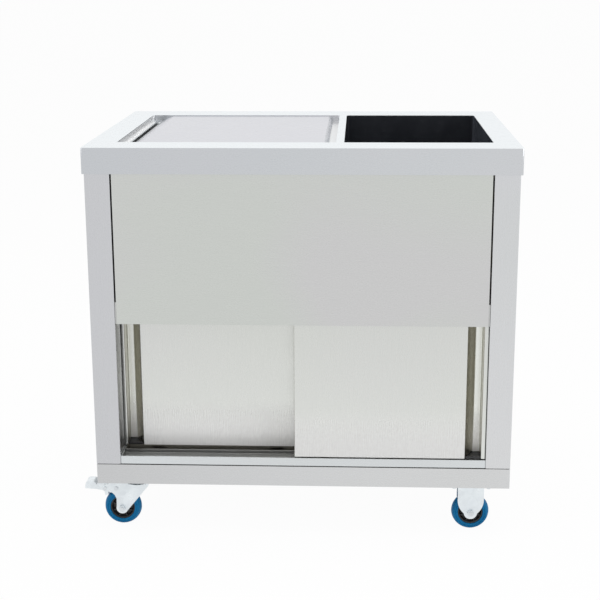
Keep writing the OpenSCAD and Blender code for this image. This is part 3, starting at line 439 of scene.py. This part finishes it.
# Sheet nodes whose edges get a small break that catches the light
BROKEN_EDGES = (["worktop", "lid", "ice_bin", "floor_pan", "plinth_frame"]
                + PANELS + DOOR_SKINS + FORKS + PEDALS)
EDGE_BREAK = 0.0003


def paint(piece, material):
    """Gives an object this material alone."""
    piece.data.materials.clear()
    piece.data.materials.append(material)


def weld(piece):
    """Joins the vertices that the CAD faces share."""
    joined = piece.modifiers.new("weld", "WELD")
    joined.merge_threshold = 0.00001


def break_edges(piece, width):
    """Rounds the sharp edges a little and keeps the faces flat."""
    weld(piece)
    bevel = piece.modifiers.new("bevel", "BEVEL")
    bevel.width = width
    bevel.segments = 2
    bevel.limit_method = "ANGLE"
    bevel.angle_limit = math.radians(50)
    bevel.harden_normals = True


for material, names in FINISH.items():
    for name in names:
        paint(nodes[name], material)
for name in BROKEN_EDGES:
    break_edges(nodes[name], EDGE_BREAK)


# Pieces

SMOOTH_ANGLE = math.radians(35)


def new_object(name, data):
    """Puts an object into the scene."""
    piece = bpy.data.objects.new(name, data)
    bpy.context.scene.collection.objects.link(piece)
    return piece


def finish_piece(name, bm, material, body, replaced=()):
    """Turns the mesh into a piece that rides on a body, smooth up to SMOOTH_ANGLE."""
    bmesh.ops.recalc_face_normals(bm, faces=bm.faces)
    mesh = bpy.data.meshes.new(name)
    bm.to_mesh(mesh)
    bm.free()
    for face in mesh.polygons:
        face.use_smooth = True
    mesh.set_sharp_from_angle(angle=SMOOTH_ANGLE)
    mesh.materials.append(material)
    piece = new_object(name, mesh)
    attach(piece, body)
    if replaced:
        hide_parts(*replaced)


def bridge(bm, rings):
    """Joins each ring of vertices to the next one with quads."""
    for here, there in zip(rings, rings[1:]):
        for i in range(len(here)):
            j = (i + 1) % len(here)
            bm.faces.new((here[i], here[j], there[j], there[i]))


def loft(bm, rings):
    """Joins rings of vertices and closes both ends."""
    bridge(bm, rings)
    bm.faces.new(list(reversed(rings[0])))
    bm.faces.new(rings[-1])


def lathe(bm, half_profile, centre, turns):
    """Turns a profile about the Y axis through the centre.

    The profile has its radius and its place along Y, and is given for the +Y side, from the outside to the
    inside. The -Y side mirrors it.
    """
    profile = half_profile + [(r, -y) for r, y in reversed(half_profile) if y > 0]
    rings = []
    for k in range(turns):
        a = 2 * math.pi * k / turns
        rings.append([bm.verts.new(centre + Vector((r * math.cos(a), y, r * math.sin(a))))
                      for r, y in profile])
    bridge(bm, rings + rings[:1])


def wheel_size(node):
    """Centre, radius and half width of a tyre or hub from its CAD node."""
    low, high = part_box(node)
    return (low + high) / 2, (high.z - low.z) / 2, (high.y - low.y) / 2


def tyre(corner, body):
    """Rubber tyre: a crowned tread with a parting line, shallow shoulders, and a ring on each side wall."""
    centre, radius, half = wheel_size(corner + "_tyre")
    # Radius of the bead on the hub and of the tread's curve, and how far the parting line stands out
    bead, crown, parting = radius - 0.0140, 0.0200, 0.00025

    def tread(y):
        return radius - crown - parting + math.sqrt(crown ** 2 - y ** 2)

    line = [(radius, 0.0), (radius, 0.0003), (tread(0.0006), 0.0006)]
    line += [(tread(y / 1000), y / 1000) for y in (1.5, 3, 4.5, 6, 7.5, 9, 10.3, 11.2)]
    line += [(tread(0.0120), 0.0120), (tread(half - 0.0008) - 0.0002, half - 0.0008),
             (radius - 0.0066, half - 0.0002), (radius - 0.0078, half),
             (radius - 0.0084, half), (radius - 0.0087, half - 0.0006), (radius - 0.0093, half - 0.0007),
             (radius - 0.0096, half), (bead + 0.0009, half), (bead + 0.0003, half - 0.0004),
             (bead + 0.0002, half - 0.0012)]
    bm = bmesh.new()
    lathe(bm, line, centre, 128)
    finish_piece(corner + "_tyre_detail", bm, tyre_blue, body, (corner + "_tyre",))


def hub(corner, body):
    """Moulded wheel centre: bearing boss, dished web with ribs, and a rim with a rounded lip."""
    centre, radius, half = wheel_size(corner + "_hub")
    # Half the rim's width, the radius where the boss meets the web, and the ribs' count and half thickness
    rim_half, boss, ribs, rib_half = 0.0110, 0.0112, 8, 0.0011
    line = [(radius, 0.0), (radius, rim_half - 0.0004), (radius - 0.0004, rim_half),
            (radius - 0.0024, rim_half), (radius - 0.0030, rim_half - 0.0005),
            (radius - 0.0046, 0.0052), (radius - 0.0055, 0.0042), (0.0135, 0.0050), (0.0121, 0.0062),
            (boss, half - 0.0010), (0.0104, half), (0.0082, half), (0.0080, half - 0.0008),
            (0.0070, half - 0.0008), (0.0068, half - 0.0002), (0.0062, half - 0.0002)]
    rib = [(boss, 0.0048), (radius - 0.0036, 0.0040), (radius - 0.0036, 0.0088), (0.0160, 0.0104),
           (boss, 0.0122)]
    bm = bmesh.new()
    lathe(bm, line, centre, 96)
    for k in range(ribs):
        turn = Matrix.Rotation(2 * math.pi * (k + 0.5) / ribs, 3, "Y")
        for side in (-1, 1):
            loft(bm, [[bm.verts.new(centre + turn @ Vector((r, side * y, across))) for r, y in rib]
                      for across in (-rib_half, rib_half)])
    finish_piece(corner + "_hub_detail", bm, black_matt, body, (corner + "_hub",))


def squared(value, power):
    """A sine or cosine raised to a power under 1, with its sign kept, which squares a circle off."""
    return math.copysign(abs(value) ** power, value)


def sleeve(drain):
    """Dipped sleeve over the outer part of a drain lever, with grip rings and a round end."""
    lever = drain + "_valve_lever"
    low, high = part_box(lever)
    lever_sheet = 0.0030
    middle_y, middle_z = low.y + lever_sheet / 2, (low.z + high.z) / 2
    half_width, half_thickness = 0.0086, 0.0031
    start, stop = high.x - 0.0580, high.x + 0.0012
    nose_length = 0.0075
    # Height and spacing of the grip rings, and the first station that has them
    grip, pitch, first_grip = 0.0006, 0.0060, 4
    stations, steps = 44, 28
    turns = [2 * math.pi * i / steps for i in range(steps)]
    bm = bmesh.new()
    rings = []
    for k in range(stations + 1):
        x = start + (stop - start) * k / stations
        ring = max(0.0, math.sin(2 * math.pi * (x - start) / pitch))
        grow = grip * ring if k >= first_grip else 0.0
        nose = max(0.0, (x - (stop - nose_length)) / nose_length)
        width = (half_width + grow) * math.sqrt(max(0.04, 1 - nose ** 2))
        thick = (half_thickness + grow) * math.sqrt(max(0.10, 1 - nose ** 2 * 0.8))
        if k == 0:
            width, thick = width * 0.93, thick * 0.85
        rings.append([bm.verts.new((x, middle_y + thick * squared(math.sin(a), 0.55),
                                    middle_z + width * squared(math.cos(a), 0.4))) for a in turns])
    loft(bm, rings)
    finish_piece(drain + "_lever_sleeve", bm, sleeve_red, lever)


def pull_cap(door):
    """Moulded cap that closes the foot of a door's pull: a rim, a sunk top with ribs, and broken edges."""
    low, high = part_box(door + "_door_skin")
    edge, inward = pull_edge(door)
    wall, floor_end, slope_end = (edge + inward * reach for reach in PULL_REACH)
    # Room for the door's sheets in front and behind, and the play in the pull
    sheet, play = 0.0016, 0.0004
    front, back = low.y + sheet, high.y - sheet
    foot, rim = low.z + 0.0004, low.z + 0.0042
    rib_foot, rib_top = rim - 0.0011, rim - 0.0002
    outline = [Vector((wall + inward * play, front)), Vector((wall + inward * play, back - play)),
               Vector((floor_end - inward * play, back - play)), Vector((slope_end - inward * 0.0014, front))]
    middle = sum(outline, Vector((0.0, 0.0))) / len(outline)
    bm = bmesh.new()
    rings = []
    # The foot, the broken edge, the flat rim and the sunk top, by how far they are drawn in
    for inset, z in ((0.0, foot), (0.0, rim - 0.0005), (0.0007, rim), (0.0021, rim), (0.00252, rim - 0.0009)):
        places = [point + (middle - point).normalized() * inset for point in outline]
        rings.append([bm.verts.new((*place, z)) for place in places])
    loft(bm, rings)
    rib_start = wall + inward * 0.0024
    rib_ends = sorted((rib_start, rib_start + inward * 0.0105))
    ribs = 3
    for k in range(ribs):
        y = front + (back - front) * (k + 1) / (ribs + 1)
        rib = [(-0.0007, rib_foot), (-0.0004, rib_top), (0.0004, rib_top), (0.0007, rib_foot)]
        loft(bm, [[bm.verts.new((x, y + dy, z)) for dy, z in rib] for x in rib_ends])
    finish_piece(door + "_pull_cap", bm, black_matt, door + "_door")


def cut_foam():
    """Foam jacket: the CAD block remeshed, drawn in a little and given the waviness of cut foam."""
    source = nodes["insulation"]
    piece = new_object("foam_jacket", source.data.copy())
    weld(piece)
    voxels = piece.modifiers.new("voxels", "REMESH")
    voxels.mode = "VOXEL"
    voxels.voxel_size = 0.007
    soften = piece.modifiers.new("soften", "SMOOTH")
    soften.factor = 0.5
    soften.iterations = 2
    graph = bpy.context.evaluated_depsgraph_get()
    shaped = bpy.data.meshes.new_from_object(piece.evaluated_get(graph))
    piece.modifiers.clear()
    piece.data = shaped
    block = BVHTree.FromPolygons([v.co for v in source.data.vertices],
                                 [list(face.vertices) for face in source.data.polygons])
    least_depth, waviness = 0.0033, 0.0005
    for v in shaped.vertices:
        wave = math.sin(61 * v.co.x + 1.3) * math.sin(57 * v.co.y + 0.4) * math.sin(66 * v.co.z)
        depth = least_depth + waviness * wave
        skin, outward = block.find_nearest(v.co)[:2]
        if (skin - v.co).dot(outward) < depth:
            v.co = skin - outward * depth
    for face in shaped.polygons:
        face.use_smooth = True
    paint(piece, foam)
    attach(piece, "cabinet")
    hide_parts("insulation")


for corner, body in WHEELS.items():
    tyre(corner, body)
    hub(corner, body)
for drain in DRAINS:
    sleeve(drain)
for door in DOORS:
    pull_cap(door)
cut_foam()


# Stage, light and camera

WHITE = (1.0, 1.0, 1.0, 1.0)
FLOOR_SIZE = 120.0
FLOOR_SHADE = (0.93, 0.93, 0.93, 1.0)
# Share of the floor that shows plain white to the camera, where the rest keeps the cart's shadow
FLOOR_GLOW = 0.96
WORLD_STRENGTH = 0.5
# The photo's camera, from the fit of the worktop's corners and openings: its place in metres, its yaw, pitch
# and roll in degrees, and its focal length and picture width in the photo's pixels
CAMERA_PLACE = (0.1197, -2.9804, 1.2134)
CAMERA_TURN = (-2.65, 14.43, 0.25)
FOCAL_PIXELS = 1311.2
PHOTO_PIXELS = 600


def seen_white(t):
    """1 for a ray that the camera, a gloss or a clear body sees by, and 0 for one that lights."""
    path = t.add("LightPath")
    seen = t.math("MAXIMUM", path.outputs["Is Camera Ray"], path.outputs["Is Glossy Ray"])
    return t.math("MAXIMUM", seen, path.outputs["Is Transmission Ray"])


def floor():
    """A white floor that runs past the view's edge on all sides."""
    mesh = bpy.data.meshes.new("floor")
    h = FLOOR_SIZE / 2
    mesh.from_pydata([(-h, -h, 0), (h, -h, 0), (h, h, 0), (-h, h, 0)], [], [(0, 1, 2, 3)])
    piece = new_object("floor", mesh)
    t = tree("floor_white")
    shade = t.add("BsdfDiffuse", {0: FLOOR_SHADE})
    glow = t.add("Emission", {0: WHITE, 1: 1.0})
    share = t.math("MULTIPLY", seen_white(t), FLOOR_GLOW)
    both = t.add("MixShader", {0: share, 1: shade.outputs[0], 2: glow.outputs[0]})
    t.add("OutputMaterial", {0: both.outputs[0]})
    mesh.materials.append(t.data)


def world():
    """A plain studio that lights softly and looks white."""
    t = Tree(bpy.data.worlds.new("studio"))
    lit = t.add("Background", {0: WHITE, 1: WORLD_STRENGTH})
    white = t.add("Background", {0: WHITE, 1: 1.0})
    both = t.add("MixShader", {0: seen_white(t), 1: lit.outputs[0], 2: white.outputs[0]})
    t.add("OutputWorld", {0: both.outputs[0]})
    bpy.context.scene.world = t.data


def lamp(name, place, target, size, watts):
    """A soft box that looks at its target."""
    data = bpy.data.lights.new(name, "AREA")
    data.shape = "RECTANGLE"
    data.size, data.size_y = size
    data.energy = watts
    piece = new_object(name, data)
    piece.location = place
    piece.rotation_euler = (Vector(target) - Vector(place)).to_track_quat("-Z", "Y").to_euler()


def camera():
    """The photo's camera."""
    yaw, pitch, roll = (math.radians(angle) for angle in CAMERA_TURN)
    ahead = Vector((math.sin(yaw) * math.cos(pitch), math.cos(yaw) * math.cos(pitch), -math.sin(pitch)))
    right = Vector((math.cos(yaw), -math.sin(yaw), 0.0))
    down = ahead.cross(right)
    right, down = (math.cos(roll) * right + math.sin(roll) * down,
                   math.cos(roll) * down - math.sin(roll) * right)
    data = bpy.data.cameras.new("photo_camera")
    data.sensor_width = 36.0
    data.lens = FOCAL_PIXELS / PHOTO_PIXELS * data.sensor_width
    data.clip_end = 200.0
    piece = new_object("photo_camera", data)
    turn = Matrix((right, -down, -ahead)).transposed().to_4x4()
    piece.matrix_world = Matrix.Translation(CAMERA_PLACE) @ turn
    bpy.context.scene.camera = piece


floor()
world()
lamp("top_light", place=(0.0, -0.3, 3.4), target=(0.0, 0.0, 0.4), size=(3.6, 3.0), watts=52.0)
lamp("left_light", place=(-3.2, -2.6, 2.3), target=(0.0, 0.0, 0.5), size=(2.2, 1.8), watts=18.0)
lamp("right_light", place=(3.4, -2.6, 2.0), target=(0.0, 0.0, 0.5), size=(2.2, 1.8), watts=34.0)
camera()
bpy.context.scene.view_settings.view_transform = "Standard"
